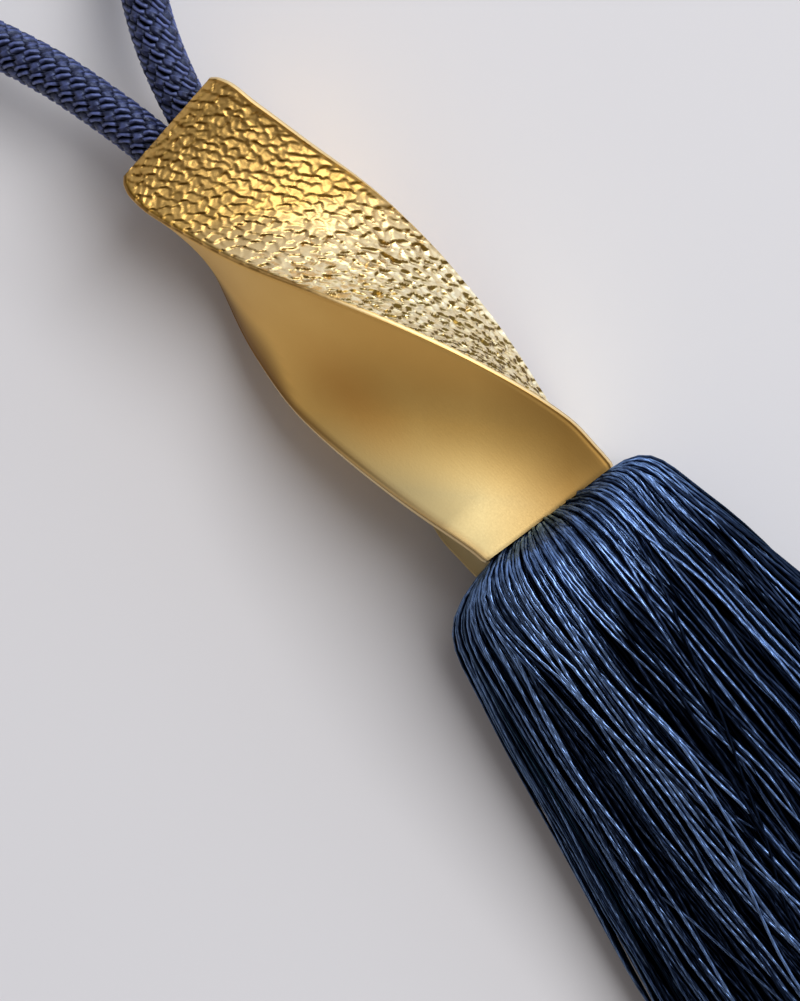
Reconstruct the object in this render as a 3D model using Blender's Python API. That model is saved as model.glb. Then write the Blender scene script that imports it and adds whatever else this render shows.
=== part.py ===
"""A curtain tieback: a looped rope, a twisted cast head and a skirt of cut threads, lying on a flat surface.

The head's axis runs along +X, from the rope end to the skirt end, and +Z is up. Sizes are in millimetres and
become metres as each mesh is made. The origin is under the middle of the head and skirt, on the surface.
"""

import math
import random

import bmesh
import bpy
from mathutils import Vector

MM = 0.001
GAP = 0.32  # the clearance between pieces that touch

# The head: a square bar, twisted and scooped, cast with narrow rims along its four ridges.
HEAD_LENGTH = 118.0
RIM = 1.3
HEAD_STEPS = 40
FACE_POINTS = 6  # points across a face, between its rims
FLOOR_CUT = 0.7  # how far the lowest ridge is flattened, where the head rests
TUCK = (6.2, 30.0)  # how far the ridge opposite the first is drawn in at the rope end, and where that ends

# The ends are cast a little aslant: how far along each lies at the axis, and how much further per unit to +Y and up.
ROPE_END = (2.0, -0.073, 0.0)
SKIRT_END = (1.2, 0.108, -0.08)
SLANT_FADE = 45.0
# Columns: distance from the rope end, half diagonal, sway to +Y, angle from +Y towards +Z of the ridge between the
# hammered and the scooped face, hollow of the hammered face, hollow of the others.
HEAD_SECTIONS = (
    (0.0, 20.2, 2.1, 144.0, 0.2, 0.2),
    (1.5, 21.8, 2.2, 143.8, 0.3, 0.1),
    (5.0, 23.3, 2.4, 143.2, 0.5, 0.0),
    (12.0, 23.5, 2.7, 141.5, 0.8, -0.4),
    (30.0, 22.5, 3.2, 128.0, 1.0, -0.8),
    (50.0, 22.8, 1.9, 99.0, 1.2, 0.4),
    (66.0, 24.2, 1.1, 78.5, 1.4, 2.2),
    (85.0, 25.3, 1.1, 60.5, 1.5, 3.4),
    (105.0, 26.0, 0.7, 44.0, 1.4, 3.6),
    (114.0, 25.0, 0.6, 40.3, 1.2, 3.2),
    (118.0, 24.6, 0.5, 39.5, 1.0, 2.8),
)

# The rope, which is one length that leaves the head as two legs and closes in a loop.
ROPE = 10.0
ROPE_POINTS = 72
POCKET = (23.0, 14.0, 8.0)  # the head's mouth for the rope: width, height, depth
POCKET_SIDE = 0.7  # how far towards +Y it sits
# Columns: distance from the head's rope end (negative, away from the head), side, height of the rope's centre.
ROPE_ROUTE = (
    (7.0, -4.7, 22.9),
    (0.0, -4.8, 22.9),
    (-12.0, -6.8, 22.6),
    (-26.0, -10.0, 21.0),
    (-42.0, -15.4, 17.8),
    (-62.0, -23.6, 12.8),
    (-86.0, -32.2, 8.2),
    (-112.0, -38.8, 5.6),
    (-142.0, -41.0, 5.1),
    (-174.0, -38.8, 5.1),
    (-206.0, -31.0, 5.1),
    (-234.0, -15.4, 5.1),
    (-246.0, 7.0, 5.1),
    (-237.0, 30.0, 5.1),
    (-214.0, 45.4, 5.1),
    (-184.0, 53.2, 5.1),
    (-152.0, 56.0, 5.1),
    (-122.0, 54.8, 5.1),
    (-94.0, 49.6, 5.5),
    (-70.0, 41.0, 7.6),
    (-48.0, 30.2, 11.8),
    (-30.0, 19.6, 16.6),
    (-15.0, 11.6, 20.6),
    (0.0, 6.3, 22.8),
    (7.0, 5.8, 22.9),
)

# The skirt: a bound neck that plugs the head's end, and locks of thread that swell over it and lie on the surface.
NECK = 0.86  # the plug's size as a share of the head's end section
NECK_DEPTH = 9.0
COLLAR = 0.90  # size of the bound roots in front of the plug, as the same share
COLLAR_LENGTH = 1.0
COLLAR_DOME = 12.0  # how far the bound roots stand out
SKIRT_LENGTH = 156.0
LOCKS = (54, 38, 18, 4)  # in each layer, from the outside in
LOCK_WIDTH = 4.2
LOCK_THICK = 3.0
ROOT_WIDTH = 1.0
ROOT_ANGLES = (80.0, 60.0, 40.0, 21.0)  # of each layer's roots on the collar's dome, from +X
SHOULDER = 22.0  # where the locks have come round from the roots and run straight
SHOULDER_STEPS = 4
BODY_STEPS = 4
CORNER = 9.0  # radius of the outer layer's lower corners
UNEVEN = 4.0  # how much the cut ends vary
UNDER_SHORTER = 7.0  # how much shorter the locks underneath are
# Columns: distance from the head's end, reach to -Y and to +Y of the head's axis, height above the surface.
SKIRT_SECTIONS = (
    (0.0, 33.0, 27.0, 50.0),
    (20.0, 37.6, 29.8, 49.0),
    (30.0, 40.6, 31.2, 47.5),
    (56.0, 47.6, 34.6, 42.0),
    (90.0, 56.6, 39.0, 34.5),
    (120.0, 63.2, 42.6, 29.0),
    (156.0, 69.0, 46.4, 24.0),
)


def at(table, column, place):
    """A column's value at a place along a table, on a smooth curve through its rows."""
    last = len(table) - 2
    i = min(max(sum(row[0] <= place for row in table) - 1, 0), last)

    def slope(k):
        low, high = max(k - 1, 0), min(k + 1, len(table) - 1)
        return (table[high][column] - table[low][column]) / (table[high][0] - table[low][0])

    a, b = table[i], table[i + 1]
    long = b[0] - a[0]
    t = min(max((place - a[0]) / long, 0.0), 1.0)
    rise = b[column] - a[column]
    bend_a, bend_b = slope(i) * long - rise, rise - slope(i + 1) * long
    return a[column] + rise * t + t * (1 - t) * ((1 - t) * bend_a + t * bend_b)


def material(name, colour, roughness, metallic):
    made = bpy.data.materials.new(name)
    made.use_nodes = True
    shader = made.node_tree.nodes["Principled BSDF"]
    shader.inputs["Base Color"].default_value = (*colour, 1.0)
    shader.inputs["Roughness"].default_value = roughness
    shader.inputs["Metallic"].default_value = metallic
    return made


def make_object(name, shape, finish, smooth_under=None):
    """An object from a finished bmesh in millimetres."""
    bmesh.ops.recalc_face_normals(shape, faces=shape.faces)
    bmesh.ops.scale(shape, vec=(MM, MM, MM), verts=shape.verts)
    mesh = bpy.data.meshes.new(name)
    shape.to_mesh(mesh)
    shape.free()
    mesh.materials.append(finish)
    if smooth_under is not None:
        mesh.shade_smooth()
        mesh.set_sharp_from_angle(angle=math.radians(smooth_under))
    made = bpy.data.objects.new(name, mesh)
    bpy.context.scene.collection.objects.link(made)
    return made


def loft(shape, rings):
    """Joins rings of equally many points with quads and closes both ends."""
    rows = [[shape.verts.new(p) for p in ring] for ring in rings]
    for a, b in zip(rows, rows[1:]):
        for i in range(len(a)):
            j = (i + 1) % len(a)
            shape.faces.new((a[i], a[j], b[j], b[i]))
    shape.faces.new(rows[0][::-1])
    shape.faces.new(rows[-1])


def cut(target, cutter):
    cutter.hide_render = True
    cutter.display_type = "WIRE"
    boolean = target.modifiers.new("cut " + cutter.name, "BOOLEAN")
    boolean.operation = "DIFFERENCE"
    boolean.solver = "EXACT"
    boolean.object = cutter


# ---- The head ----


def lean(x, side, up):
    """How far along the slant of the ends moves a point of the head, given from its axis."""
    moved = 0.0
    for (along, for_side, for_up), distance in ((ROPE_END, x), (SKIRT_END, HEAD_LENGTH - x)):
        moved += max(0.0, 1 - distance / SLANT_FADE) ** 2 * (along + for_side * side + for_up * up)
    return moved


def head_ring(x, axis_height):
    """One section of the head: four rims with a hollowed face after each, the hammered one first."""
    half, sway, first = (at(HEAD_SECTIONS, k, x) for k in (1, 2, 3))
    reach = [half, half, half - TUCK[0] * max(0.0, 1 - x / TUCK[1]), half]
    ring = []
    for face in range(4):
        hollow = at(HEAD_SECTIONS, 4 if face == 0 else 5, x)
        angle = math.radians(first) - face * math.pi / 2
        ridge = Vector((math.cos(angle), math.sin(angle)))
        following = Vector((ridge.y, -ridge.x))
        a, b = ridge * reach[face], following * reach[(face + 1) % 4]
        edge = (b - a).normalized()
        start, end = a + edge * RIM / math.sqrt(2), b - edge * RIM / math.sqrt(2)
        inward = Vector((edge.y, -edge.x))
        for k in range(FACE_POINTS + 2):
            t = k / (FACE_POINTS + 1)
            p = start.lerp(end, t) + inward * hollow * 4 * t * (1 - t)
            side, up = p.x + sway, p.y
            ring.append(Vector((x + lean(x, side, up), side, up + axis_height)))
    return ring


def lowest_half_diagonal():
    """How far the lowest ridge reaches below the head's axis."""
    steps = [HEAD_LENGTH * i / HEAD_STEPS for i in range(HEAD_STEPS + 1)]
    return max(-p.z for x in steps for p in head_ring(x, 0.0))


AXIS_HEIGHT = lowest_half_diagonal() - FLOOR_CUT


def make_head(finish):
    steps = [HEAD_LENGTH * i / HEAD_STEPS for i in range(1, HEAD_STEPS)]
    places = [0.0, HEAD_SECTIONS[1][0], *steps, HEAD_LENGTH]
    shape = bmesh.new()
    loft(shape, [head_ring(x, AXIS_HEIGHT) for x in sorted(places)])
    head = make_object("head", shape, finish, smooth_under=40)

    floor = bmesh.new()
    bmesh.ops.create_cube(floor, size=1.0)
    bmesh.ops.scale(floor, vec=(2 * HEAD_LENGTH, HEAD_LENGTH, 10.0), verts=floor.verts)
    bmesh.ops.translate(floor, vec=(HEAD_LENGTH / 2, 0.0, -5.0), verts=floor.verts)
    cut(head, make_object("rest flat", floor, finish))

    width, height, depth = POCKET
    mouth = bmesh.new()
    bmesh.ops.create_cube(mouth, size=1.0)
    bmesh.ops.scale(mouth, vec=(2 * depth, width, height), verts=mouth.verts)
    long_edges = [e for e in mouth.edges if abs(e.verts[0].co.x - e.verts[1].co.x) > depth]
    bmesh.ops.bevel(mouth, geom=long_edges, offset=height * 0.42, segments=4, profile=0.5, affect="EDGES")
    bmesh.ops.translate(mouth, vec=(0.0, POCKET_SIDE, AXIS_HEIGHT), verts=mouth.verts)
    cut(head, make_object("rope pocket", mouth, finish))

    wall = GAP / (HEAD_SECTIONS[-1][1] / math.sqrt(2))
    bore = bmesh.new()
    loft(bore, [mouth_ring(x, NECK + wall) for x in (HEAD_LENGTH - NECK_DEPTH - GAP, HEAD_LENGTH + NECK_DEPTH)])
    cut(head, make_object("neck bore", bore, finish))
    return head


def mouth_ring(x, share):
    """The head's end section, shrunk to a share of its size and moved along by as much as x is past the head."""
    ring = [Vector((p.y, p.z)) * share for p in head_ring(HEAD_LENGTH, 0.0)]
    return [Vector((x + lean(HEAD_LENGTH, *p), p.x, AXIS_HEIGHT + p.y)) for p in ring]


def mouth_reach(toward):
    """How far the head's end section reaches from the axis in a direction."""
    ring = [Vector((p.y, p.z)) for p in head_ring(HEAD_LENGTH, 0.0)]
    d = Vector((toward.y, toward.z))
    for a, b in zip(ring, [*ring[1:], ring[0]]):
        before, after = d.cross(a), d.cross(b)
        if before * after <= 0 and d.dot(a + b) > 0:
            return a.lerp(b, before / (before - after)).length
    return ring[0].length


# ---- The rope ----


def smooth_route(points, count):
    """Evenly spaced points on a smooth curve through the given ones."""
    dense = []
    padded = [points[0] * 2 - points[1], *points, points[-1] * 2 - points[-2]]
    for a, b, c, d in zip(padded, padded[1:], padded[2:], padded[3:]):
        for k in range(16):
            t = k / 16
            dense.append(
                0.5 * (2 * b + (c - a) * t + (2 * a - 5 * b + 4 * c - d) * t**2 + (3 * b - a - 3 * c + d) * t**3)
            )
    dense.append(points[-1])
    lengths = [0.0]
    for a, b in zip(dense, dense[1:]):
        lengths.append(lengths[-1] + (b - a).length)
    even, k = [], 0
    for i in range(count):
        wanted = lengths[-1] * i / (count - 1)
        while k < len(dense) - 2 and lengths[k + 1] < wanted:
            k += 1
        share = (wanted - lengths[k]) / (lengths[k + 1] - lengths[k])
        even.append(dense[k].lerp(dense[k + 1], share))
    return even


def make_rope(finish):
    route = smooth_route([Vector(row) for row in ROPE_ROUTE], ROPE_POINTS)
    curve = bpy.data.curves.new("rope", "CURVE")
    curve.dimensions = "3D"
    curve.bevel_depth = ROPE / 2 * MM
    curve.bevel_resolution = 4
    curve.use_fill_caps = True
    spline = curve.splines.new("POLY")
    spline.points.add(len(route) - 1)
    for point, place in zip(spline.points, route):
        point.co = (*(place * MM), 1.0)
    curve.materials.append(finish)
    rope = bpy.data.objects.new("rope", curve)
    bpy.context.scene.collection.objects.link(rope)
    return rope


# ---- The skirt ----


def skirt_loop(x, layer):
    """The closed outline that a layer's locks run along at a distance from the head's end, and their thickness."""
    left, right, height = (at(SKIRT_SECTIONS, k, x) for k in (1, 2, 3))
    rows = 2 * len(LOCKS) - 1
    thick = min(LOCK_THICK, 0.75 * height / (rows + 0.75))
    share = 1 - 2 * layer / rows
    half = ((left + right) / 2 - thick / 2) * share
    low, high = (height - (height - thick) * share) / 2, (height + (height - thick) * share) / 2
    corner = min(CORNER * share, (high - low) / 2)
    middle = (right - left) / 2
    quarter = [math.pi / 2 * k / 16 for k in range(16)]

    def top(side, a):
        return side * half * math.sin(a), low + corner + (high - low - corner) * math.cos(a)

    def under(side, a):
        return side * (half - corner + corner * math.cos(a)), low + corner - corner * math.sin(a)

    # From the top down the -Y side, along the surface, and up the +Y side.
    loop = [top(-1, a) for a in quarter] + [under(-1, a) for a in (*quarter, math.pi / 2)]
    loop += [under(1, math.pi / 2 - a) for a in quarter] + [top(1, math.pi / 2 - a) for a in quarter]
    return [Vector((HEAD_LENGTH + x, middle + y, z)) for y, z in loop], thick


def around(loop, fraction):
    """The point a fraction of the way round a loop, the way the loop runs there, and the loop's length."""
    closed = [*loop, loop[0]]
    lengths = [0.0]
    for a, b in zip(closed, closed[1:]):
        lengths.append(lengths[-1] + (b - a).length)
    wanted = fraction % 1.0 * lengths[-1]
    k = max(i for i, length in enumerate(lengths[:-1]) if length <= wanted)
    share = (wanted - lengths[k]) / (lengths[k + 1] - lengths[k])
    return closed[k].lerp(closed[k + 1], share), (closed[k + 1] - closed[k]).normalized(), lengths[-1]


def lock_section(x, layer, fraction):
    """Where a lock's centre is at a distance from the head's end, and its sideways direction, width and thickness."""
    loop, thick = skirt_loop(x, layer)
    centre, side, length = around(loop, fraction)
    return centre, side, min(LOCK_WIDTH, 0.8 * length / LOCKS[layer]), thick


def lock_path(layer, index, chance):
    """A lock's sections, from its root in the collar to its cut end."""
    fraction = (index + 0.5 - 0.25 * (layer % 2)) / LOCKS[layer]
    shoulder, side, width, thick = lock_section(SHOULDER, layer, fraction)
    angle = math.pi / 2 + 2 * math.pi * fraction
    toward = Vector((0.0, math.cos(angle), math.sin(angle)))
    root_side = Vector((0.0, -toward.z, toward.y))
    polar = math.radians(ROOT_ANGLES[layer])
    away = Vector((math.cos(polar), 0.0, 0.0)) + toward * math.sin(polar)
    root = Vector((HEAD_LENGTH + GAP + COLLAR_LENGTH + (COLLAR_DOME - 1.0) * away.x, 0.0, AXIS_HEIGHT))
    root += toward * (COLLAR * mouth_reach(toward) - 1.0) * math.sin(polar)
    root.x += lean(HEAD_LENGTH, root.y, root.z - AXIS_HEIGHT)
    leave = root + away * ((shoulder - root).length * 0.7)
    arrive = shoulder - Vector((SHOULDER * 0.6, 0.0, 0.0))
    path = []
    for k in range(SHOULDER_STEPS):
        t = k / SHOULDER_STEPS
        centre = (
            root * (1 - t) ** 3 + leave * 3 * t * (1 - t) ** 2 + arrive * 3 * t * t * (1 - t) + shoulder * t**3
        )
        grown = ROOT_WIDTH + (width - ROOT_WIDTH) * t
        path.append((centre, root_side.lerp(side, t), grown, ROOT_WIDTH + (thick - ROOT_WIDTH) * t))
    below = max(0.0, side.y)
    end = SKIRT_LENGTH - UNDER_SHORTER * below - UNEVEN * chance.random()
    for k in range(BODY_STEPS + 1):
        x = SHOULDER + (end - SHOULDER) * k / BODY_STEPS
        path.append(lock_section(x, layer, fraction))
    centre, side, width, thick = path[-1]
    path[-1] = (centre, side, width * 0.6, thick)
    return path


def add_lock(shape, path):
    rings = []
    for k, (centre, side, width, thick) in enumerate(path):
        along = path[min(k + 1, len(path) - 1)][0] - path[max(k - 1, 0)][0]
        up = side.cross(along).normalized()
        across = along.cross(up).normalized() * width / 2
        up = up * thick / 2
        inner = across * 0.62
        ring = [centre - inner - up, centre + inner - up, centre + across + up, centre - across + up]
        for p in ring:
            p.z = max(p.z, 0.0)
        rings.append(ring)
    loft(shape, rings)


def make_skirt(finish):
    roots = bmesh.new()
    rings = [mouth_ring(HEAD_LENGTH - NECK_DEPTH, NECK), mouth_ring(HEAD_LENGTH + GAP, NECK)]
    rings.append(mouth_ring(HEAD_LENGTH + GAP, COLLAR))
    for k in range(8):
        a = math.pi / 2 * k / 8.5
        rings.append(mouth_ring(HEAD_LENGTH + GAP + COLLAR_LENGTH + COLLAR_DOME * math.sin(a), COLLAR * math.cos(a)))
    loft(roots, rings)
    skirt = make_object("skirt", roots, finish, smooth_under=40)

    chance = random.Random(7)
    locks = bmesh.new()
    for layer, count in enumerate(LOCKS):
        for index in range(count):
            add_lock(locks, lock_path(layer, index, chance))
    threads = make_object("threads", locks, finish)
    threads.hide_render = True
    threads.display_type = "WIRE"
    fuse = skirt.modifiers.new("fuse threads", "BOOLEAN")
    fuse.operation = "UNION"
    fuse.solver = "EXACT"
    fuse.use_self = True
    fuse.object = threads
    return skirt


def main():
    for old in list(bpy.data.objects):
        bpy.data.objects.remove(old)
    gold = material("satin gold", (0.72, 0.50, 0.18), 0.35, 1.0)
    navy_rope = material("navy rope", (0.03, 0.04, 0.12), 0.7, 0.0)
    navy_thread = material("navy thread", (0.01, 0.02, 0.08), 0.45, 0.0)
    make_head(gold)
    make_rope(navy_rope)
    make_skirt(navy_thread)

    # The origin goes under the middle of the head and skirt.
    depsgraph = bpy.context.evaluated_depsgraph_get()
    corners = []
    for name in ("head", "skirt"):
        box = bpy.data.objects[name].evaluated_get(depsgraph).bound_box
        corners.extend(Vector(corner) for corner in box)
    middle = [(min(c[k] for c in corners) + max(c[k] for c in corners)) / 2 for k in range(2)]
    frame = bpy.data.objects.new("tieback", None)
    bpy.context.scene.collection.objects.link(frame)
    for made in list(bpy.data.objects):
        if made is not frame:
            made.parent = frame
    frame.location = (-middle[0], -middle[1], 0.0)


main()
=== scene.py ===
import math

import bmesh
import bpy
import numpy as np
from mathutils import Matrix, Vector


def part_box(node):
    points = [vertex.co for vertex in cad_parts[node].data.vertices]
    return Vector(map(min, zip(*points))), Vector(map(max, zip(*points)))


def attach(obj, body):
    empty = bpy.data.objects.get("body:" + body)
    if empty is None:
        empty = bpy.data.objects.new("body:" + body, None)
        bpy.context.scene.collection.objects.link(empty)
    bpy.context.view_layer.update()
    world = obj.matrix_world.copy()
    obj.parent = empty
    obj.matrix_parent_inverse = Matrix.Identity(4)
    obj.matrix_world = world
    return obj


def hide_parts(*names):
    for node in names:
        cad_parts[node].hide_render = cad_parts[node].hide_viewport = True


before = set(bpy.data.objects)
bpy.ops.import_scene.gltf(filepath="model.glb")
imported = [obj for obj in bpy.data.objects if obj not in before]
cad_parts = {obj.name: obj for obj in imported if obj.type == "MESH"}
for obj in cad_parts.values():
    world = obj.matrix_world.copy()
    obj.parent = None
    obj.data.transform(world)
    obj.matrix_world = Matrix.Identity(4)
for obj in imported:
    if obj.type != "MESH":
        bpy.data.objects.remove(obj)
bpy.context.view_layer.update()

bpy.ops.object.select_all(action="DESELECT")

# ---- The surface that it lies on, the light and the camera ----
# A pale painted board, lit through a large soft panel beyond the head's +Y side.
# The camera looks straight down, turned so that the head slants across the picture.

MM = 0.001
SLANT_START = 0.98 * MM  # how far along its axis the head's slanted rope end begins
AXIS = Vector((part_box("head")[0][0] - SLANT_START, 0.0111298, 0.0225062))  # its axis, at the rope end
CAMERA_PLACE = (0.09413, -0.0189)  # how far along and to +Y of that the camera is
CAMERA_ROLL = math.atan2(0.7253, 0.6886)
CAMERA_HEIGHT = 0.77  # above the head's axis
VIEW_HEIGHT = 0.2176  # of the head's axis plane, from the bottom of the picture to its top
SENSOR = 24.0


class Value:
    """A shader socket that can be added, multiplied and so on, so that a finish reads as sums."""

    def __init__(self, finish, socket):
        self.finish, self.socket = finish, socket

    def math(self, operation, *others):
        return self.finish.node("ShaderNodeMath", {"operation": operation}, dict(enumerate((self, *others))))

    def __add__(self, other):
        return self.math("ADD", other)

    def __sub__(self, other):
        return self.math("SUBTRACT", other)

    def __rsub__(self, other):
        return self.finish.node("ShaderNodeMath", {"operation": "SUBTRACT"}, {0: other, 1: self})

    def __mul__(self, other):
        return self.math("MULTIPLY", other)

    __radd__ = __add__
    __rmul__ = __mul__


class Nodes:
    """A node tree and the shader that its values feed."""

    def __init__(self, tree, shader):
        self.tree, self.shader = tree, tree.nodes[shader]

    def node(self, kind, settings, values, output=0):
        """A new node's output. A ramp's stops take the place of its own, and values may be links."""
        made = self.tree.nodes.new(kind)
        for name, setting in settings.items():
            if name == "stops":
                made.color_ramp.elements.remove(made.color_ramp.elements[1])
                for place, colour in setting:
                    made.color_ramp.elements.new(place).color = (*colour, 1.0)
                made.color_ramp.elements.remove(made.color_ramp.elements[0])
            else:
                setattr(made, name, setting)
        for name, value in values.items():
            if isinstance(value, Value):
                self.tree.links.new(value.socket, made.inputs[name])
            else:
                made.inputs[name].default_value = value
        return Value(self, made.outputs[output])

    def feed(self, socket, value):
        self.tree.links.new(value.socket, self.shader.inputs[socket])

    def place(self):
        return self.node("ShaderNodeTexCoord", {}, {}, "Object")

    def uv(self):
        return self.node("ShaderNodeTexCoord", {}, {}, "UV")

    def stretched(self, vector, scale):
        return self.node("ShaderNodeMapping", {}, {"Vector": vector, "Scale": scale})

    def noise(self, vector, scale, detail):
        return self.node("ShaderNodeTexNoise", {}, {"Vector": vector, "Scale": scale, "Detail": detail})

    def ramp(self, value, stops):
        return self.node("ShaderNodeValToRGB", {"stops": stops}, {"Fac": value})

    def blend(self, share, first, second):
        return self.node("ShaderNodeMix", {"data_type": "RGBA"}, {0: share, 6: first, 7: second}, 2)

    def bump(self, height, distance, strength):
        values = {"Height": height, "Distance": distance, "Strength": strength}
        return self.node("ShaderNodeBump", {}, values)

    def attribute(self, name):
        return self.node("ShaderNodeAttribute", {"attribute_name": name}, {}, "Fac")

    def part(self, vector, axis):
        return self.node("ShaderNodeSeparateXYZ", {}, {"Vector": vector}, axis)


class Finish(Nodes):
    """A material, made of a Principled shader with some constants and what feeds it."""

    def __init__(self, name, constants):
        self.material = bpy.data.materials.new(name)
        self.material.use_nodes = True
        super().__init__(self.material.node_tree, "Principled BSDF")
        for socket, value in constants.items():
            self.shader.inputs[socket].default_value = value


board_paint = Finish("board paint", {"Roughness": 0.7})
mottle = board_paint.noise(board_paint.place(), 3.0, 3.0)
greys = ((0.3, (0.675, 0.67, 0.70)), (0.7, (0.70, 0.695, 0.725)))
board_paint.feed("Base Color", board_paint.ramp(mottle, greys))

bpy.ops.mesh.primitive_plane_add(size=8.0, location=(0.0, 0.0, 0.0))
board = bpy.context.object
board.name = "board"
board.data.materials.append(board_paint.material)

bpy.ops.object.light_add(type="AREA", location=(0.13, 0.936, 1.716))
panel = bpy.context.object
panel.name = "soft panel"
panel.data.shape = "SQUARE"
panel.data.size = 1.365
panel.data.energy = 30.5
panel.data.color = (1.0, 0.99, 0.97)
aim = Vector((0.0, 0.0, 0.02))
panel.rotation_euler = (panel.location - aim).to_track_quat("Z", "Y").to_euler()

# The room is dim overhead and lighter towards its walls, cool on the panel's side and warm on the other.
world = bpy.data.worlds.new("studio")
bpy.context.scene.world = world
world.use_nodes = True
room = Nodes(world.node_tree, "Background")
direction = room.node("ShaderNodeTexCoord", {}, {}, "Generated")
room_y, room_z = room.part(direction, 1), room.part(direction, 2)
overhead = room_z.math("MAXIMUM", 0.0).math("POWER", 0.5)
room.feed("Strength", 1.28 - overhead * 1.08 + room_y * 0.36)
warm_wall, cool_wall = (1.0, 0.82, 0.64, 1.0), (0.88, 1.0, 1.20, 1.0)
room.feed("Color", room.blend(room_y * 0.5 + 0.5, warm_wall, cool_wall))
bpy.context.scene.view_settings.view_transform = "Standard"

bpy.ops.object.camera_add(
    location=AXIS + Vector((*CAMERA_PLACE, CAMERA_HEIGHT)),
    rotation=(0.0, 0.0, CAMERA_ROLL),
)
camera = bpy.context.object
camera.data.sensor_fit = "VERTICAL"
camera.data.sensor_height = SENSOR
camera.data.lens = SENSOR * CAMERA_HEIGHT / VIEW_HEIGHT
bpy.context.scene.camera = camera

# ---- The rope ----
# One length of round cord, braided from pairs of yarns that spiral round it and dive under flat blocks of
# yarn. Both its ends are fixed in the head's slot, so it leaves the head as two legs and closes in a loop.

# From here on, sizes are in millimetres, but for those in the finishes.
ROPE_CORE = 3.7  # radius under the yarns
YARN = 1.5  # height of the yarns and the blocks over it
BLOCK_LINES = 7  # lines of blocks around the rope
YARN_ROWS = 8  # rows of yarn pairs that spiral round it
BLOCK_PITCH = 3.84  # along the rope
BLOCK_SLANT = -0.427  # which sets the blocks square to the yarns
BLOCK_LONG, BLOCK_WIDE = 0.175, 0.42  # half a block's length and width, as shares of its spacing
PAIR_START = 0.18  # where the yarns come out from under a block
# A pair of yarns across: distance from the groove between the two, height as a share.
PAIR_SECTION = ((0.0, 0.0), (0.09, 0.05), (0.17, 0.84), (0.29, 1.0), (0.41, 0.84), (0.5, 0.3))
STEPS_BETWEEN = (0.08, 0.17, 0.20, 0.27, 0.5, 0.73, 0.80, 0.83, 0.92)  # from one line of blocks to the next
STEPS_ACROSS = (-0.5, -0.41, -0.29, -0.17, -0.09, 0.09, 0.17, 0.29, 0.41)  # across a row
BOW = 0.16  # how far the yarns bow along the rope between two blocks, as a share of the pitch
ROUTE_STEP = 0.25
# Columns: distance from the head's rope end (negative, away from the head), side, height above the surface.
ROPE_ROUTE = (
    (7.0, -4.7, 22.9),
    (0.0, -4.8, 22.9),
    (-12.0, -6.8, 22.6),
    (-26.0, -10.0, 21.0),
    (-42.0, -15.4, 17.8),
    (-62.0, -23.6, 12.8),
    (-86.0, -32.2, 8.2),
    (-112.0, -38.8, 5.6),
    (-142.0, -41.0, 5.1),
    (-174.0, -38.8, 5.1),
    (-206.0, -31.0, 5.1),
    (-234.0, -15.4, 5.1),
    (-246.0, 7.0, 5.1),
    (-237.0, 30.0, 5.1),
    (-214.0, 45.4, 5.1),
    (-184.0, 53.2, 5.1),
    (-152.0, 56.0, 5.1),
    (-122.0, 54.8, 5.1),
    (-94.0, 49.6, 5.5),
    (-70.0, 41.0, 7.6),
    (-48.0, 30.2, 11.8),
    (-30.0, 19.6, 16.6),
    (-15.0, 11.6, 20.6),
    (0.0, 6.3, 22.8),
    (7.0, 5.8, 22.9),
)


def smooth_route(points, spacing):
    """Evenly spaced points on a smooth curve through the given ones, and its length."""
    points = np.array(points)
    padded = np.vstack((2 * points[0] - points[1], points, 2 * points[-1] - points[-2]))
    t = np.linspace(0, 1, 60, endpoint=False)[:, None]
    dense = []
    for a, b, c, d in zip(padded, padded[1:], padded[2:], padded[3:]):
        dense.append(
            0.5 * (2 * b + (c - a) * t + (2 * a - 5 * b + 4 * c - d) * t**2 + (3 * b - a - 3 * c + d) * t**3)
        )
    dense = np.vstack((*dense, points[-1:]))
    far = np.concatenate(([0.0], np.cumsum(np.linalg.norm(np.diff(dense, axis=0), axis=1))))
    even = np.linspace(0, far[-1], int(far[-1] / spacing) + 1)
    return np.stack([np.interp(even, far, dense[:, k]) for k in range(3)], axis=1), far[-1]


def carried_frames(line):
    """Two directions square to a line at each of its points, carried along it without twisting."""
    along = np.gradient(line, axis=0)
    along /= np.linalg.norm(along, axis=-1, keepdims=True)
    side = np.empty_like(line)
    side[0] = np.cross(along[0], (0.0, 0.0, 1.0))
    for k in range(1, len(line)):
        side[k] = side[k - 1]
        side[k] -= along[k] * np.dot(side[k], along[k])
        side[k] /= np.linalg.norm(side[k])
    side[0] /= np.linalg.norm(side[0])
    return side, np.cross(along, side)


def mesh_piece(name, points, faces, uv=None, **shares):
    """A smooth-shaded object from points in millimetres, with a UV and named values for each point."""
    mesh = bpy.data.meshes.new(name)
    mesh.from_pydata((np.asarray(points) * MM).tolist(), [], faces)
    if uv is not None:
        layer = mesh.uv_layers.new(name="UVMap")
        corners = np.empty(len(mesh.loops), dtype=np.int32)
        mesh.loops.foreach_get("vertex_index", corners)
        layer.data.foreach_set("uv", np.asarray(uv, dtype=np.float32)[corners].ravel())
    for key, values in shares.items():
        attribute = mesh.attributes.new(key, "FLOAT", "POINT")
        attribute.data.foreach_set("value", np.asarray(values, dtype=np.float32).ravel())
    mesh.shade_smooth()
    piece = bpy.data.objects.new(name, mesh)
    bpy.context.scene.collection.objects.link(piece)
    return piece


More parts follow.
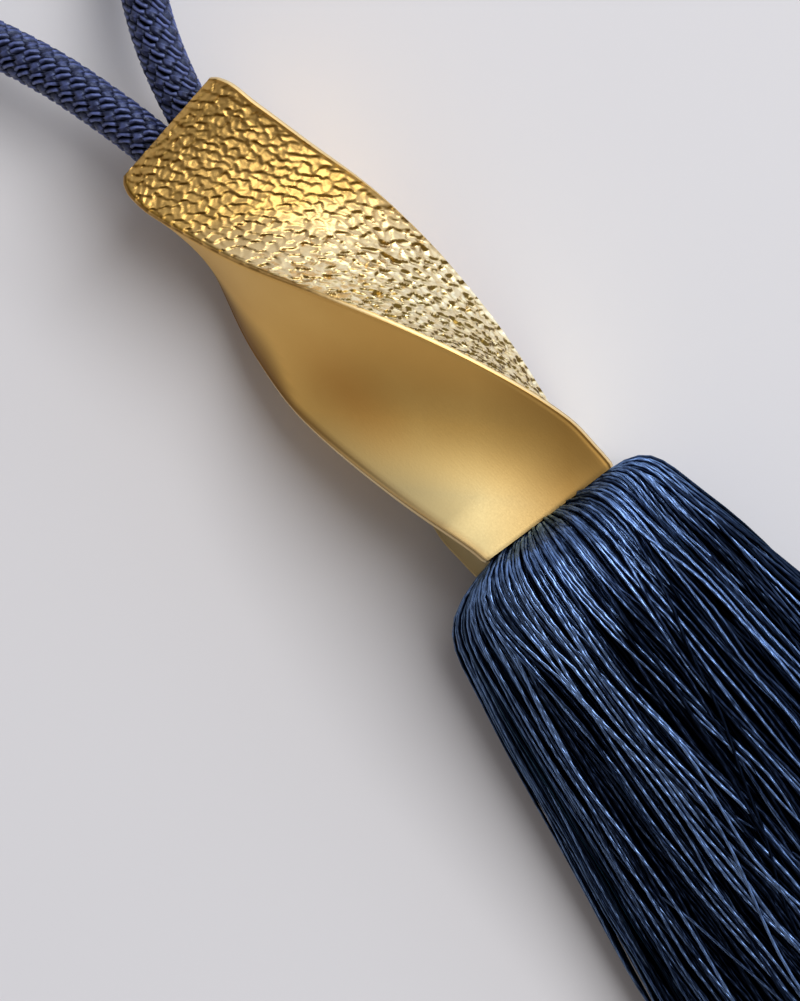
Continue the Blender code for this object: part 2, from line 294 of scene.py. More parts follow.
def yarn_height(beside, across):
    """How high the yarns stand, beside the nearest line of blocks and across their row."""
    crowned = 1 - 0.15 * (across / 0.38) ** 2 - 0.10 * (beside / 0.17) ** 2
    block = np.where(np.abs(across) < BLOCK_WIDE, crowned, 0.0)
    pair = np.interp(np.abs(across), *zip(*PAIR_SECTION))
    rise = np.clip((beside - PAIR_START) / 0.07, 0, 1) ** 0.5
    return YARN * np.where(beside < BLOCK_LONG, block, pair * (0.2 + 0.8 * rise))


route, rope_length = smooth_route(ROPE_ROUTE, ROUTE_STEP)
axis_start = np.array(AXIS) * 1000  # in millimetres
route += axis_start * (1, 1, 0)
rope_side, rope_up = carried_frames(route)
between = (np.arange(BLOCK_LINES)[:, None] + STEPS_BETWEEN).reshape(-1, 1)
beside = np.abs(between - np.round(between))
row_numbers = np.arange(-YARN_ROWS - 2, int(rope_length / BLOCK_PITCH) + 3)
rows = (row_numbers[:, None] + STEPS_ACROSS).ravel()
across = rows - np.round(rows + 0.001)
slanted = between + BLOCK_SLANT * np.where(across < -0.49, 0.0, across)
bow = np.sin(np.pi * np.clip((between % 1.0 - PAIR_START) / (1 - 2 * PAIR_START), 0, 1))
pinch = np.where(np.abs(across) < 0.2, across, 0.0) * (bow - 1) * 0.7  # of a pair's groove, beside the blocks
place = (rows + pinch + YARN_ROWS / BLOCK_LINES * slanted + BOW * bow) * BLOCK_PITCH
height = yarn_height(beside, across)
radius = (ROPE_CORE + height)[..., None]
place = np.clip(place, 0.0, rope_length)
index = place / ROUTE_STEP
low = np.clip(index.astype(int), 0, len(route) - 2)
rest = (index - low)[..., None]


def along_rope(values):
    return values[low] * (1 - rest) + values[low + 1] * rest


angle = (-2 * np.pi * slanted / BLOCK_LINES)[..., None]  # left-handed
outward = along_rope(rope_side) * np.cos(angle) + along_rope(rope_up) * np.sin(angle)
points = along_rope(route) + radius * outward
points[..., 2] = np.maximum(points[..., 2], 0.0)
number = np.arange(place.size).reshape(place.shape)
corners = (number[:-1, :-1], number[:-1, 1:], number[1:, 1:], number[1:, :-1])
quads = np.stack(corners, axis=-1).reshape(-1, 4)
shift = YARN_ROWS * len(STEPS_ACROSS)
last, first = number[-1, :-shift], number[0, shift:]
seam = np.stack((last[:-1], last[1:], first[1:], first[:-1]), axis=-1)
faces = np.vstack((quads, seam)).tolist()
uv = np.stack((place / BLOCK_PITCH, np.broadcast_to(between, place.shape)), axis=-1).reshape(-1, 2)
standing = height / YARN * np.where(beside < 0.19, 0.90, 1.0)  # the blocks are a little darker
rope = mesh_piece("rope_braid", points.reshape(-1, 3), faces, uv, standing=standing)

shape = bmesh.new()
shape.from_mesh(rope.data)
bmesh.ops.remove_doubles(shape, verts=shape.verts, dist=1e-6)
bmesh.ops.dissolve_degenerate(shape, edges=shape.edges, dist=1e-7)
ends = [e for e in shape.edges if e.is_boundary]
bmesh.ops.holes_fill(shape, edges=ends, sides=0)
bmesh.ops.recalc_face_normals(shape, faces=shape.faces)
for face in shape.faces:
    face.smooth = True
shape.to_mesh(rope.data)
shape.free()

rope_yarn = Finish(
    "rope yarn",
    {
        "Roughness": 0.42,
        "Specular IOR Level": 0.7,
        "Specular Tint": (0.62, 0.72, 1.0, 1.0),
        "Sheen Weight": 0.05,
        "Sheen Roughness": 0.35,
        "Sheen Tint": (0.60, 0.66, 1.0, 1.0),
    },
)
standing = rope_yarn.attribute("standing")
uneven = rope_yarn.noise(rope_yarn.place(), 700.0, 3.0)
navy = (
    (0.35, (0.0005, 0.0006, 0.002)),
    (0.80, (0.013, 0.017, 0.052)),
    (1.02, (0.105, 0.135, 0.340)),
)
# The yarns are painted darker the lower they stand, down to black in the grooves between them: painted shade.
rope_yarn.feed("Base Color", rope_yarn.ramp(standing * 0.8 + uneven * 0.35, navy))
strands = rope_yarn.noise(rope_yarn.stretched(rope_yarn.uv(), (12.0, 1.2, 1.0)), 1.0, 2.0)
grain = rope_yarn.noise(rope_yarn.place(), 2600.0, 2.0)
rope_yarn.feed("Normal", rope_yarn.bump(strands * 0.7 + grain * 0.3, 0.00015, 0.6))
# The grooves reflect nothing either: painted shade.
rope_yarn.feed("Metallic", 1.0 - standing.math("POWER", 0.7))  # black in the gaps
rope.data.materials.append(rope_yarn.material)

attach(rope, "root")
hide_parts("rope")

# ---- The head ----
# A square bar, cast and twisted by rather more than a quarter turn, with narrow rims left proud along its
# ridges. One face is hammered all over. The others are scooped and brushed to a fine satin.
# It is plated a warm gold.

HEAD_LENGTH = 118.0
RIM = 1.0
RIM_CROWN, RIM_GROOVE = 0.14, 0.14  # how far a rim is crowned, and how deep the fine groove beside it is
# The ends are cast a little aslant: how far along each lies at the axis, and how much further per unit to
# +Y and up.
ROPE_END = (2.0, -0.073, 0.0)
SKIRT_END = (1.2, 0.108, -0.08)
SLANT_FADE = 45.0
TUCK = (6.2, 30.0)  # how far the ridge opposite the first is drawn in at the rope end, and where that ends
# Columns: distance from the rope end, half diagonal, sway to +Y, angle from +Y towards +Z of the ridge at the
# hammered face's start, hollow of the hammered face, hollow of the others.
HEAD_SECTIONS = (
    (0.0, 20.2, 2.1, 144.0, 0.2, 0.2),
    (1.5, 21.8, 2.2, 143.8, 0.3, 0.1),
    (5.0, 23.3, 2.4, 143.2, 0.5, 0.0),
    (12.0, 23.5, 2.7, 141.5, 0.8, -0.4),
    (30.0, 22.5, 3.2, 128.0, 1.0, -0.8),
    (50.0, 22.8, 1.9, 99.0, 1.2, 0.4),
    (66.0, 24.2, 1.1, 78.5, 1.4, 2.2),
    (85.0, 25.3, 1.1, 60.5, 1.5, 3.4),
    (105.0, 26.0, 0.7, 44.0, 1.4, 3.6),
    (114.0, 25.0, 0.6, 40.3, 1.2, 3.2),
    (118.0, 24.6, 0.5, 39.5, 1.0, 2.8),
)


def at(table, column, place):
    """A column's value at places along a table, on a smooth curve through its rows."""
    table = np.array(table)
    x, y = table[:, 0], table[:, column]
    slope = np.empty(len(x))
    slope[1:-1] = (y[2:] - y[:-2]) / (x[2:] - x[:-2])
    slope[0], slope[-1] = (y[1] - y[0]) / (x[1] - x[0]), (y[-1] - y[-2]) / (x[-1] - x[-2])
    place = np.asarray(place, dtype=float)
    i = np.clip(np.searchsorted(x, place, side="right") - 1, 0, len(x) - 2)
    long, rise = x[i + 1] - x[i], y[i + 1] - y[i]
    t = np.clip((place - x[i]) / long, 0, 1)
    bend_a, bend_b = slope[i] * long - rise, rise - slope[i + 1] * long
    return y[i] + rise * t + t * (1 - t) * ((1 - t) * bend_a + t * bend_b)


def ease(value, low, high):
    t = np.clip((value - low) / (high - low), 0, 1)
    return t * t * (3 - 2 * t)


def lean(x, side, up):
    """How far along the slant of the ends moves points of the head, given from its axis."""
    moved = 0.0
    for (along, for_side, for_up), distance in ((ROPE_END, x), (SKIRT_END, HEAD_LENGTH - x)):
        fade = np.clip(1 - distance / SLANT_FADE, 0, 1) ** 2
        moved = moved + fade * (along + for_side * side + for_up * up)
    return moved


near_ends = ((0.0, 0.25, 0.6, 1.0), (HEAD_LENGTH - 0.35, HEAD_LENGTH))
between_ends = np.linspace(1.4, HEAD_LENGTH - 0.8, 326)
stations = np.concatenate((near_ends[0], between_ends, near_ends[1]))
half = at(HEAD_SECTIONS, 1, stations)
half -= 0.35 * ease(stations, HEAD_LENGTH - 0.8, HEAD_LENGTH)  # the skirt end's edge is eased
sway = at(HEAD_SECTIONS, 2, stations)
turn = np.radians(at(HEAD_SECTIONS, 3, stations))

# The hammer's blows: each leaves a small squarish flat, tipped at random, and thin ridges stand between them.
BLOW_ALONG, BLOW_ACROSS = 2.55, 2.3  # spacing
BLOW_STRAY = 0.75
TIPPED = (0.24, -0.22)  # how all the flats lean, towards the skirt and across
FLAT_DEPTH = 0.46
LEAST_DEPTH = 0.1  # of the ridges between them, below the rims
RIPPLE_DEPTH = 0.09

chance = np.random.default_rng(11)
blow_x, blow_v = np.meshgrid(
    np.arange(-2.0, HEAD_LENGTH + 3.0, BLOW_ALONG), np.arange(-19.0, 19.1, BLOW_ACROSS), indexing="ij"
)
blow_v = blow_v + BLOW_ACROSS / 2 * (np.arange(len(blow_x)) % 2)[:, None]
blow_x = (blow_x + chance.uniform(-BLOW_STRAY, BLOW_STRAY, blow_x.shape)).ravel()
blow_v = (blow_v + chance.uniform(-BLOW_STRAY, BLOW_STRAY, blow_v.shape)).ravel()
blow_turn = chance.normal(0.5, 0.35, blow_x.shape)
blow_deep = chance.uniform(-0.16, 0.16, blow_x.shape)
blow_tip = chance.normal(0, 0.11, (2, *blow_x.shape))
blow_bold = chance.uniform(0.35, 1.15, blow_x.shape)


def hammered(x, v):
    """Depth of the hammering at points along and across the face, the blows' edges being a little wavy."""
    warped_x = x + 0.35 * np.sin(1.3 * v + 0.5 * x) + 0.2 * np.sin(2.9 * v)
    warped_v = v + 0.35 * np.sin(1.1 * x - 0.6 * v) + 0.2 * np.sin(2.7 * x + 1.0)
    dx, dv = warped_x[:, None] - blow_x, warped_v[:, None] - blow_v
    a = np.abs(dx * np.cos(blow_turn) + dv * np.sin(blow_turn))
    b = np.abs(dv * np.cos(blow_turn) - dx * np.sin(blow_turn))
    away = (a**4 + b**4) ** 0.25  # from each blow's middle, even round a square with soft corners
    two = np.argpartition(away, 1, axis=1)[:, :2]
    near = np.take_along_axis(away, two, axis=1)
    each = np.arange(len(x))
    nearest = np.argmin(near, axis=1)
    own, other = two[each, nearest], two[each, 1 - nearest]
    hard = ease(x, 25.0, 60.0)  # the blows are harder towards the skirt
    ridge = 1 - ease(np.abs(near[:, 1] - near[:, 0]) / (0.65 + 0.35 * hard), 0.0, 1.0)
    ridge = ridge * np.minimum((blow_bold[own] + blow_bold[other]) / 2, 1.0)
    tip = blow_tip[:, own] * (0.45 + 0.65 * hard) + np.array(TIPPED)[:, None] * (0.8 + 0.2 * hard)
    flat = FLAT_DEPTH + blow_deep[own] - tip[0] * dx[each, own] - tip[1] * dv[each, own]
    dent = np.maximum(flat, 0.05) * (1 - 0.85 * ridge) * (0.65 + 0.35 * hard)
    # Fine ripples lie along the rope end.
    ripple = RIPPLE_DEPTH * np.sin(4.2 * (x + 0.5 * np.sin(0.9 * v) + 0.25 * np.sin(2.3 * v + 1.0)))
    return dent + ripple * ease(x, 0.3, 1.5) * (1 - ease(x, 5.0, 15.0)) + LEAST_DEPTH


# The faces go round the section from the hammered one, and after each comes the crown of a rim. The plating
# is painted darker on the dents' slopes that face away from the light and beside the fourth ridge, where the
# scooped faces turn down, both painted shade, and it is darker along the first ridge where it has no rim.
HAMMERED_STEPS = 101
SCOOPED_STEPS = (0, 0.008, 0.014, 0.022, 0.034, *np.linspace(0.06, 0.94, 17), 0.966, 0.978, 0.986, 0.992, 1)
# The dents' slopes that face these ways get painted shade; the first ridge is darker where it has no rim.
DARK_SIDE = (0.73, -0.69)  # the slopes that are dark, along and across
DARK_RIDGE = 0.8

reach = [half, half, half - TUCK[0] * np.clip(1 - stations / TUCK[1], 0, 1), half]
lip = ease(stations, 45.0, 62.0)[:, None]  # the first ridge's rim fades in along the head
# How strong the painted shade on the dents' slopes is, and how wide and strong it is beside the fourth ridge.
dent_dark = 1.15 + 0.55 * ease(stations, 40, 70)[:, None]
fourth_width = 10.0 - 7.8 * ease(stations, 46, 64)[:, None]
fourth_dark = 1.0 - 0.4 * ease(stations, 55, 90)[:, None]
ring_parts, dark_parts = [], []  # for each stretch round the section: its points' Y and Z, and their darkness
rim_columns = []
for face in range(4):
    angle = turn - face * np.pi / 2
    ridge = np.stack((np.cos(angle), np.sin(angle)), axis=1)
    following = np.stack((ridge[:, 1], -ridge[:, 0]), axis=1)
    start, end = ridge * reach[face][:, None], following * reach[(face + 1) % 4][:, None]
    edge = (end - start) / np.linalg.norm(end - start, axis=1, keepdims=True)
    start, end = start + edge * RIM / math.sqrt(2), end - edge * RIM / math.sqrt(2)
    width = np.linalg.norm(end - start, axis=1)[:, None]
    outward = np.stack((-edge[:, 1], edge[:, 0]), axis=1)
    t = np.linspace(0, 1, HAMMERED_STEPS) if face == 0 else np.array(SCOOPED_STEPS)
    from_start, from_end = t * width, (1 - t) * width
    from_rim = np.minimum(from_start, from_end)
    hollow = at(HEAD_SECTIONS, 4 if face == 0 else 5, stations)[:, None]
    depth = hollow * 4 * t * (1 - t)
    if face == 0:
        dents = hammered(np.repeat(stations, len(t)), ((t - 0.5) * width).ravel())
        dents = dents.reshape(len(stations), len(t))
        inside = ease(from_rim, 0.0, 0.55)
        lipped = np.where(from_start < from_end, lip, 1.0)
        depth = depth + dents * (inside + (1 - inside) * (1 - lipped) * 0.5)
        slope_x = np.gradient(dents, stations, axis=0)
        slope_v = np.gradient(dents, axis=1) * (len(t) - 1) / width
        dark = np.clip((DARK_SIDE[0] * slope_x + DARK_SIDE[1] * slope_v) * dent_dark, 0, 1)
        dark = np.maximum(dark, DARK_RIDGE * (1 - lip) * (1 - ease(from_start, 0.2, 1.0)))
    else:
        depth = depth + RIM_GROOVE * ease(from_rim, 0.0, 0.3) * (1 - ease(from_rim, 0.45, 0.9))
        dark = np.zeros_like(depth)
    if face in (2, 3):
        from_fourth = from_end if face == 2 else from_start
        dark = (1 - ease(from_fourth, 0.0, fourth_width)) * fourth_dark
    chord = start[:, None] * (1 - t)[:, None] + end[:, None] * t[:, None]
    surface = chord - outward[:, None] * depth[..., None]
    crown = following * (reach[(face + 1) % 4][:, None] - RIM / 2 + RIM_CROWN)
    ring_parts += [surface, crown[:, None]]
    dark_parts += [dark, np.zeros((len(stations), 1))]
    rim_columns.append(sum(part.shape[1] for part in ring_parts) - 1)

section = np.concatenate(ring_parts, axis=1)
sides = section.shape[1]
rings = np.empty((len(stations), sides, 3))
rings[..., 1:] = section + np.stack((sway, np.zeros_like(sway)), axis=1)[:, None]
rings[..., 0] = stations[:, None] + lean(stations[:, None], rings[..., 1], rings[..., 2])

# The mouths: a rounded slot for the rope, and a socket of the head's own section for the skirt.
SLOT_WIDTH, SLOT_HEIGHT, SLOT_CORNER, SLOT_DEPTH = 23.0, 14.0, 5.88, 8.0
SLOT_SIDE = 0.7  # how far its middle lies to +Y of the axis
SOCKET, SOCKET_DEPTH = 0.88, 9.3  # its size is a share of the head's end section


def slot_edge(directions):
    """Where rays from the slot's middle meet its edge."""
    wide, high = SLOT_WIDTH / 2, SLOT_HEIGHT / 2
    along_ray = np.linspace(0, wide + high, 400)
    past = np.abs(directions[:, None] * along_ray[:, None]) - (wide - SLOT_CORNER, high - SLOT_CORNER)
    outside = np.linalg.norm(np.clip(past, 0, None), axis=-1) + np.minimum(past.max(axis=-1), 0) - SLOT_CORNER
    hit = np.array([np.interp(0.0, ray, along_ray) for ray in outside])
    return directions * hit[:, None]


slot_middle = np.array((SLOT_SIDE, 0.0))
rays = rings[0, :, 1:] - slot_middle
rays /= np.linalg.norm(rays, axis=1, keepdims=True)
slot_ring = slot_edge(rays) + slot_middle
front = [np.column_stack((np.full(sides, SLOT_DEPTH), slot_ring))]
for inset, share in ((0.5, 1.0), (0.0, 1.03)):
    ring = slot_ring * share
    front.append(np.column_stack((inset + lean(0.0, ring[:, 0], ring[:, 1]), ring)))
end_ring = rings[-1, :, 1:].copy()
back = []
for inset, share in ((0.0, SOCKET + 0.03), (0.5, SOCKET), (SOCKET_DEPTH, SOCKET)):
    ring = end_ring * share
    back.append(np.column_stack((HEAD_LENGTH - inset + lean(HEAD_LENGTH, ring[:, 0], ring[:, 1]), ring)))
rings = np.concatenate((front, rings, back))
rings = rings + axis_start
rings[..., 2] = np.maximum(rings[..., 2], 0.0)
number = np.arange(rings.shape[0] * sides).reshape(rings.shape[:2])
ahead = np.roll(number, -1, axis=1)
quads = np.stack((number[:-1], ahead[:-1], ahead[1:], number[1:]), axis=-1)
faces = quads.reshape(-1, 4).tolist() + [number[0][::-1].tolist(), number[-1].tolist()]
outer = slice(len(front), -len(back))
patina = np.zeros(rings.shape[:2])
patina[outer] = np.concatenate(dark_parts, axis=1)
patina[outer, rim_columns[3]] = DARK_RIDGE * (1 - lip[:, 0])
# The rims' crowns are paler; the first ridge's only where its rim has come in.
worn = np.zeros(rings.shape[:2])
worn[:, rim_columns] = 1.0
worn[outer, rim_columns[3]] = lip[:, 0]
head = mesh_piece("head_casting", rings.reshape(-1, 3), faces, patina=patina, worn=worn)
finish_index = np.zeros(quads.shape[:2], dtype=np.int32)
finish_index[outer, : HAMMERED_STEPS - 1] = 1
finish_index = np.concatenate((finish_index.ravel(), (0, 0)))  # the mouths' floors are satin too
head.data.polygons.foreach_set("material_index", finish_index.astype(np.int32))

shape = bmesh.new()
shape.from_mesh(head.data)
bmesh.ops.recalc_face_normals(shape, faces=shape.faces)
shape.to_mesh(head.data)
shape.free()
head.data.set_sharp_from_angle(angle=math.radians(50))

# A painted reflection of something brown, soft and oval, on the scooped face.
BROWN_REFLECTION = AXIS + Vector((0.0705, -0.0112, 0.014))  # a soft browner spot on the scooped face
BROWN_REFLECTION_SHAPE = (50.0, 110.0, 50.0)


class Plating(Finish):
    """A metal finish that knows how far it is along the head."""

    def toward_skirt(self, start, end, slant):
        """From 0 to 1 between two distances along the head, the more so to -Y where the slant is positive."""
        along, side = self.part(self.place(), 0), self.part(self.place(), 1)
        zero = AXIS.x - slant * AXIS.y
        return self.node("ShaderNodeMapRange", {}, {0: along - side * slant, 1: zero + start, 2: zero + end})


satin_gold = Plating("satin gold", {"Metallic": 1.0})
brushed = satin_gold.stretched(satin_gold.place(), (260.0, 2600.0, 2600.0))
along_grain = satin_gold.noise(brushed, 1.0, 3.0)
speckle = satin_gold.noise(satin_gold.place(), 2400.0, 2.0)
cloud = satin_gold.noise(satin_gold.place(), 35.0, 3.0)
plating = satin_gold.ramp(cloud, ((0.3, (0.72, 0.455, 0.135)), (0.7, (0.79, 0.53, 0.175))))
# It is painted paler and dimmer at the skirt end, where its broad highlight falls (painted highlight), and
# darker in that end's corner to +Y (painted shade).
pale = satin_gold.toward_skirt(0.090, 0.113, 1.2)
plating = satin_gold.blend(pale, plating, (0.47, 0.37, 0.18, 1.0))
shaded_corner = satin_gold.toward_skirt(0.098, 0.128, -1.2)
plating = satin_gold.blend(shaded_corner * 0.75, plating, (0.44, 0.24, 0.055, 1.0))
# The painted brown reflection on the scooped face.
spot = satin_gold.node("ShaderNodeVectorMath", {"operation": "SUBTRACT"}, {0: satin_gold.place(), 1: BROWN_REFLECTION})
oval = satin_gold.stretched(spot, BROWN_REFLECTION_SHAPE)
from_spot = satin_gold.node("ShaderNodeVectorMath", {"operation": "LENGTH"}, {0: oval}, "Value")
reflected_brown = (1.0 - from_spot).math("MAXIMUM", 0.0).math("POWER", 1.3)
plating = satin_gold.blend(reflected_brown * 0.55, plating, (0.66, 0.31, 0.065, 1.0))
# Painted shade on the dents' slopes and beside the fourth ridge, and the darker first ridge.
plating = satin_gold.blend(satin_gold.attribute("patina"), plating, (0.22, 0.12, 0.04, 1.0))
crown_paling = satin_gold.attribute("worn") * 0.8
satin_gold.feed("Base Color", satin_gold.blend(crown_paling, plating, (0.88, 0.74, 0.47, 1.0)))
satin_gold.feed("Roughness", 0.50 + 0.10 * speckle)
satin_gold.feed("Normal", satin_gold.bump(speckle * 0.5 + along_grain * 0.5, 0.00005, 0.4))
head.data.materials.append(satin_gold.material)

hammered_gold = Plating("hammered gold", {"Metallic": 1.0})
# The gold is painted paler towards the skirt, where the face turns to the bright side of the room: painted
# highlight. It is smoother there too.
paler_toward_skirt = hammered_gold.toward_skirt(0.027, 0.058, 0.6)
tarnish = hammered_gold.noise(hammered_gold.place(), 160.0, 4.0)
# The dents' painted shade and the darker first ridge, with some random tarnish, darken the gold.
tone = hammered_gold.attribute("patina") * 0.8 + tarnish * 0.45
warm_golds = ((0.15, (0.64, 0.40, 0.125)), (0.45, (0.48, 0.29, 0.077)), (0.85, (0.17, 0.09, 0.016)))
pale_golds = ((0.25, (1.0, 0.87, 0.58)), (0.58, (0.92, 0.72, 0.38)), (0.92, (0.17, 0.105, 0.022)))
warm, pale = (hammered_gold.ramp(tone, golds) for golds in (warm_golds, pale_golds))
hammered_gold.feed("Base Color", hammered_gold.blend(paler_toward_skirt, warm, pale))
pits = hammered_gold.noise(hammered_gold.place(), 700.0, 3.0)
hammered_gold.feed("Roughness", 0.34 + 0.16 * pits - paler_toward_skirt * 0.10)
hammered_gold.feed("Normal", hammered_gold.bump(pits, 0.00020, 0.4))
head.data.materials.append(hammered_gold.material)

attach(head, "root")
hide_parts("head")

# ---- The skirt ----
# Some 1,800 twisted two-ply threads with a silky lustre, bound at their roots inside the head's socket. They
# turn out over its edge in a rounded shoulder, then fan out and lie on the surface, a little tangled.

SKIRT_LENGTH = 156.0
THREAD = 0.45  # radius
THREAD_SIDES = 5
PLY_PITCH = 3.4
ROOTS = 0.84  # how far out the outermost threads leave the socket, as a share of the head's end section
SHOULDER = 21.0  # where it ends, from the head
SHOULDER_STEPS, BODY_STEPS = 9, 24
CORNER = 9.0  # radius of the body's lower corners
SIDE_SHIFT = 1.1  # of the body to +Y
CLUMPS = 58  # which the threads draw together into towards their tips
CLUMP_CHOICE = (0.55, 0.25, 0.12, 0.08)  # shares that draw to the nearest clump, the next and so on
WAVES = (95.0, 52.0, 27.0)  # lengths
WAVE_AROUND, WAVE_DEEP = 0.0045, 0.02  # sizes, as shares of the way round and of the thickness
# Columns: distance from the head's end, reach to -Y and to +Y of the head's axis, height above the surface.
SKIRT_SECTIONS = (
    (0.0, 33.0, 27.0, 50.0),
    (20.0, 38.0, 30.4, 49.0),
    (30.0, 41.0, 32.0, 47.5),
    (56.0, 47.6, 34.6, 42.0),
    (90.0, 56.6, 39.0, 34.5),
    (120.0, 63.2, 42.6, 29.0),
    (156.0, 69.0, 46.4, 24.0),
)

# The socket's edge, as angles from +Y towards +Z and distances from the axis.
end_angles = np.arctan2(end_ring[:, 1], end_ring[:, 0]) % (2 * np.pi)
end_order = np.argsort(end_angles)
end_angles, end_reach = end_angles[end_order], np.linalg.norm(end_ring, axis=1)[end_order]


def skirt_outline(place, share):
    """Points of the skirt's outline, at distances from the head, a share of the way round it from the top."""
    left, right, height = (at(SKIRT_SECTIONS, k, place) for k in (1, 2, 3))
    half = ((left + right) / 2 - THREAD).reshape(-1, 1)
    high = (height - THREAD).reshape(-1, 1)
    low = np.full_like(high, THREAD)
    corner = np.minimum(CORNER, (high - low) / 2)
    quarter = np.linspace(0, np.pi / 2, 17)
    crown = np.stack((half * np.sin(quarter), low + corner + (high - low - corner) * np.cos(quarter)))
    under = np.stack((half - corner + corner * np.cos(quarter), low + corner - corner * np.sin(quarter)))
    right_side = np.concatenate((crown, under[..., 1:], np.stack((0 * low, low))), axis=-1)
    left_side = right_side * np.array((-1.0, 1.0)).reshape(2, 1, 1)
    loop = np.concatenate((left_side, right_side[..., -2::-1]), axis=-1)
    steps = np.linalg.norm(np.diff(loop, axis=-1), axis=0)
    far = np.concatenate((np.zeros((steps.shape[0], 1)), np.cumsum(steps, axis=1)), axis=1)
    wanted = (share.reshape(-1) % 1.0) * far[:, -1]
    found = np.empty((len(wanted), 2))
    for k, distance in enumerate(wanted):
        found[k] = [np.interp(distance, far[k], loop[axis, k]) for axis in (0, 1)]
    found = found.reshape(*place.shape, 2)
    found[..., 0] += (right - left) / 2 + SIDE_SHIFT * ease(place, 4.0, 22.0)
    return found


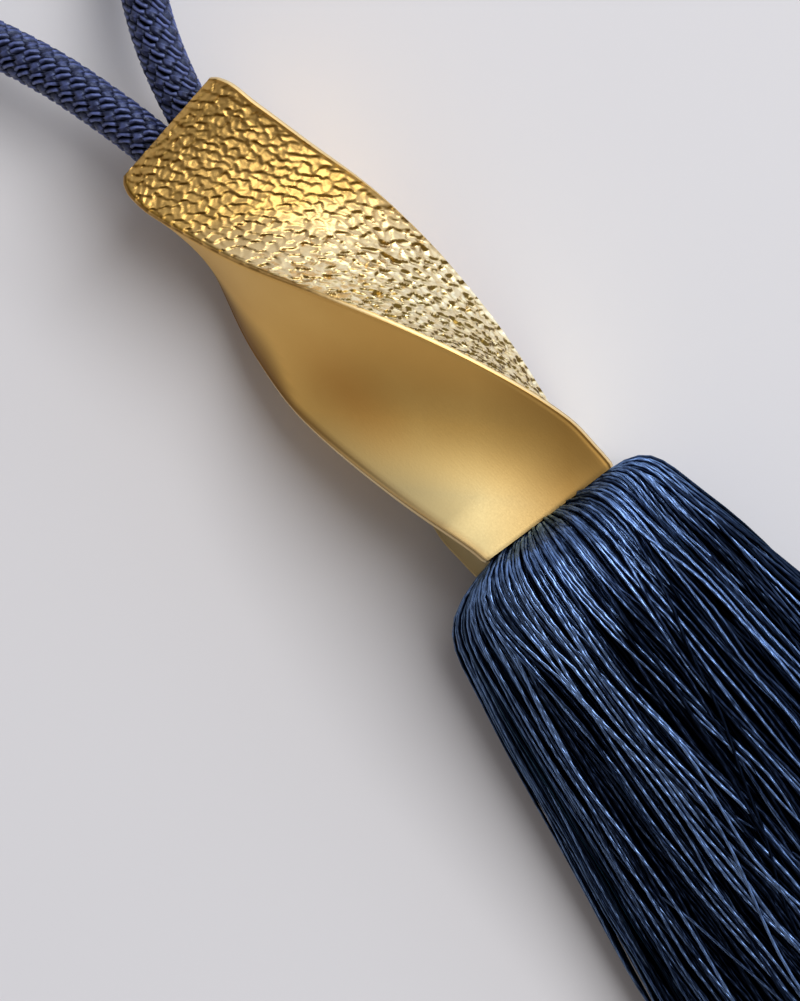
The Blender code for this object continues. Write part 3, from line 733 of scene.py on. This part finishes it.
def lay_threads(name, count, depths, seed, stray=0.06):
    """A piece of many threads, whose depths below the skirt's outside are shares of its thickness."""
    chance = np.random.default_rng(seed)
    share = (np.arange(count) + chance.uniform(0, 1, count)) / count
    chance.shuffle(share)
    depth = chance.uniform(*depths, count)
    straying = chance.uniform(0, 1, count) < stray
    clumps = np.sort(chance.uniform(0, 1, CLUMPS))
    order = np.argsort(np.abs(share[:, None] - clumps), axis=1)
    pick = chance.choice(len(CLUMP_CHOICE), count, p=CLUMP_CHOICE)
    clump = clumps[order[np.arange(count), pick]]
    pull = chance.uniform(0.35, 0.92, count)
    drift = chance.normal(0, 0.006, count) + straying * chance.normal(0, 0.07, count)

    # The body: each thread waves a little, and draws towards its clump as it falls.
    tip = SKIRT_LENGTH - 5.0 * chance.uniform(0, 1, count) ** 2 - 4.0 * depth
    x = SHOULDER + (tip[:, None] - SHOULDER) * np.linspace(0, 1, BODY_STEPS)
    run = (x - SHOULDER) / (SKIRT_LENGTH - SHOULDER)
    wave = np.zeros_like(x)
    lift = np.zeros_like(x)
    for length in WAVES:
        phase = chance.uniform(0, 2 * np.pi, (2, count, 1))
        size = chance.normal(0, 1, (2, count, 1)) * length / WAVES[0]
        start = np.sin(2 * np.pi * SHOULDER / length + phase[0])
        wave += WAVE_AROUND * size[0] * (np.sin(2 * np.pi * x / length + phase[0]) - start)
        lift += WAVE_DEEP * size[1] * np.sin(2 * np.pi * x / length + phase[1])
    drawn = (clump - share)[:, None] * (pull[:, None] * run**0.55)
    turned = share[:, None] + drawn + drift[:, None] * run + wave
    sunk = depth[:, None] * (1 - 0.3 * straying[:, None] * run) + lift * run**0.5 * 0.6
    sunk = np.clip(sunk, 0.0, 0.97)
    left, right, height = (at(SKIRT_SECTIONS, k, x) for k in (1, 2, 3))
    middle = np.stack(((right - left) / 2, height / 2), axis=-1)
    lies = skirt_outline(x, turned) * (1 - sunk[..., None]) + middle * sunk[..., None]
    along = np.concatenate((x[..., None] + HEAD_LENGTH, lies), axis=-1)

    # The shoulder: a curve from the root in the socket, which turns out the more the further out the root is.
    angle = np.pi / 2 + 2 * np.pi * share
    toward = np.stack((np.zeros(count), np.cos(angle), np.sin(angle)), axis=1)
    polar = np.radians(92 - 82 * depth)[:, None]
    away = np.array((1.0, 0.0, 0.0)) * np.cos(polar) + toward * np.sin(polar)
    mouth = ROOTS * np.interp(angle % (2 * np.pi), end_angles, end_reach)
    from_axis = mouth * (1 - 0.85 * depth) * chance.uniform(0.9, 1.0, count)
    root = np.array((HEAD_LENGTH, 0.0, axis_start[2])) + toward * from_axis[:, None]
    aslant = lean(HEAD_LENGTH, root[:, 1], root[:, 2] - axis_start[2])
    root[:, 0] += chance.uniform(-0.6, 0.6, count) + aslant
    shoulder = along[:, 0]
    reach = np.linalg.norm(shoulder - root, axis=1)[:, None]
    leave = root + away * reach * chance.uniform(0.48, 0.70, (count, 1)) + np.array((1.0, 0.0, 0.0))
    arrive = shoulder - (along[:, 1] - shoulder) * 2.3
    t = np.linspace(0, 1, SHOULDER_STEPS)[:-1, None]
    over = (
        root[:, None] * (1 - t) ** 3
        + leave[:, None] * 3 * t * (1 - t) ** 2
        + arrive[:, None] * 3 * t * t * (1 - t)
        + shoulder[:, None] * t**3
    )
    line = np.concatenate((over, along), axis=1)
    line[..., 2] = np.maximum(line[..., 2], THREAD)
    line += axis_start * (1, 1, 0)

    # The tubes: rings square to each line, carried along it without twisting.
    ahead = np.gradient(line, axis=1)
    ahead /= np.linalg.norm(ahead, axis=-1, keepdims=True)
    side = np.empty_like(line)
    side[:, 0] = np.stack((np.zeros(count), -toward[:, 2], toward[:, 1]), axis=1)
    for k in range(1, line.shape[1]):
        side[:, k] = side[:, k - 1]
        side[:, k] -= ahead[:, k] * np.sum(side[:, k] * ahead[:, k], axis=1, keepdims=True)
        side[:, k] /= np.linalg.norm(side[:, k], axis=1, keepdims=True)
    up = np.cross(ahead, side)
    # Threads are painted as catching less light the deeper they lie, more close to the head, and least on
    # their
    # undersides: painted shade and painted light.
    buried = np.concatenate((np.repeat(depth[:, None], over.shape[1], axis=1), sunk), axis=1)
    close = 1 - ease(line[:, :, 0] - axis_start[0] - HEAD_LENGTH, 6.0, 34.0)
    shaded = np.maximum(buried - 0.02, 0) * 4.5 * (1 - 0.5 * close)
    lit = np.clip(chance.uniform(0.10, 1.15, (count, 1)) + 0.5 * close - shaded, 0, 1)
    around = np.linspace(0, 2 * np.pi, THREAD_SIDES, endpoint=False)[:, None]
    outward = (1 - np.sin(around[:, 0])) / 2
    lit = np.clip(lit[:, :, None] * (0.12 + outward), 0, 1)
    thick = THREAD * chance.uniform(0.82, 1.12, (count, 1, 1, 1))
    tubes = line[:, :, None] + thick * (side[:, :, None] * np.cos(around) + up[:, :, None] * np.sin(around))
    tubes[..., 2] = np.maximum(tubes[..., 2], 0.0)
    number = np.arange(lit.size).reshape(lit.shape)
    beside = np.roll(number, -1, axis=2)
    walls = np.stack((number[:, :-1], beside[:, :-1], beside[:, 1:], number[:, 1:]), axis=-1).reshape(-1, 4)
    caps = np.concatenate((number[:, 0, ::-1], number[:, -1]))
    steps = np.linalg.norm(np.diff(line, axis=1), axis=2)
    far = np.concatenate((np.zeros((count, 1)), np.cumsum(steps, axis=1)), axis=1)
    u = far + chance.integers(0, 400, (count, 1)) * 10.0
    v = np.linspace(0, 1, THREAD_SIDES, endpoint=False)
    uv = np.stack(np.broadcast_arrays(u[:, :, None], v), axis=-1).reshape(-1, 2)
    piece = mesh_piece(name, tubes.reshape(-1, 3), walls.tolist() + caps.tolist(), uv, lit=lit)
    piece.data.materials.append(thread_lustre.material)
    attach(piece, "root")
    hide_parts("skirt")


thread_lustre = Finish("thread lustre", {"Specular IOR Level": 1.0, "Specular Tint": (0.55, 0.78, 1.0, 1.0)})
along_thread, round_thread = (thread_lustre.part(thread_lustre.uv(), axis) for axis in (0, 1))
plies = ((along_thread * (1 / PLY_PITCH) + round_thread * 2.0) * (2 * math.pi)).math("SINE")
lit = thread_lustre.attribute("lit")
uneven = thread_lustre.noise(thread_lustre.stretched(thread_lustre.place(), (30.0, 900.0, 900.0)), 1.0, 2.0)
blues = (
    (0.05, (0.0006, 0.0010, 0.003)),
    (0.55, (0.008, 0.015, 0.044)),
    (1.05, (0.150, 0.250, 0.500)),
)
# The colour and the reflection follow lit, down to black: painted shade and painted light.
thread_lustre.feed("Base Color", thread_lustre.ramp(lit * (uneven * 1.2 + 0.4), blues))
thread_lustre.feed("Roughness", 0.50 - 0.30 * lit)
thread_lustre.feed("Metallic", 1.0 - lit * 0.30)
thread_lustre.feed("Normal", thread_lustre.bump(plies, 0.00008, 0.5))

lay_threads("skirt_outer_threads", 560, (0.0, 0.18), 3, 0.10)
lay_threads("skirt_middle_threads", 620, (0.10, 0.40), 4)
lay_threads("skirt_inner_threads", 600, (0.30, 0.95), 5)
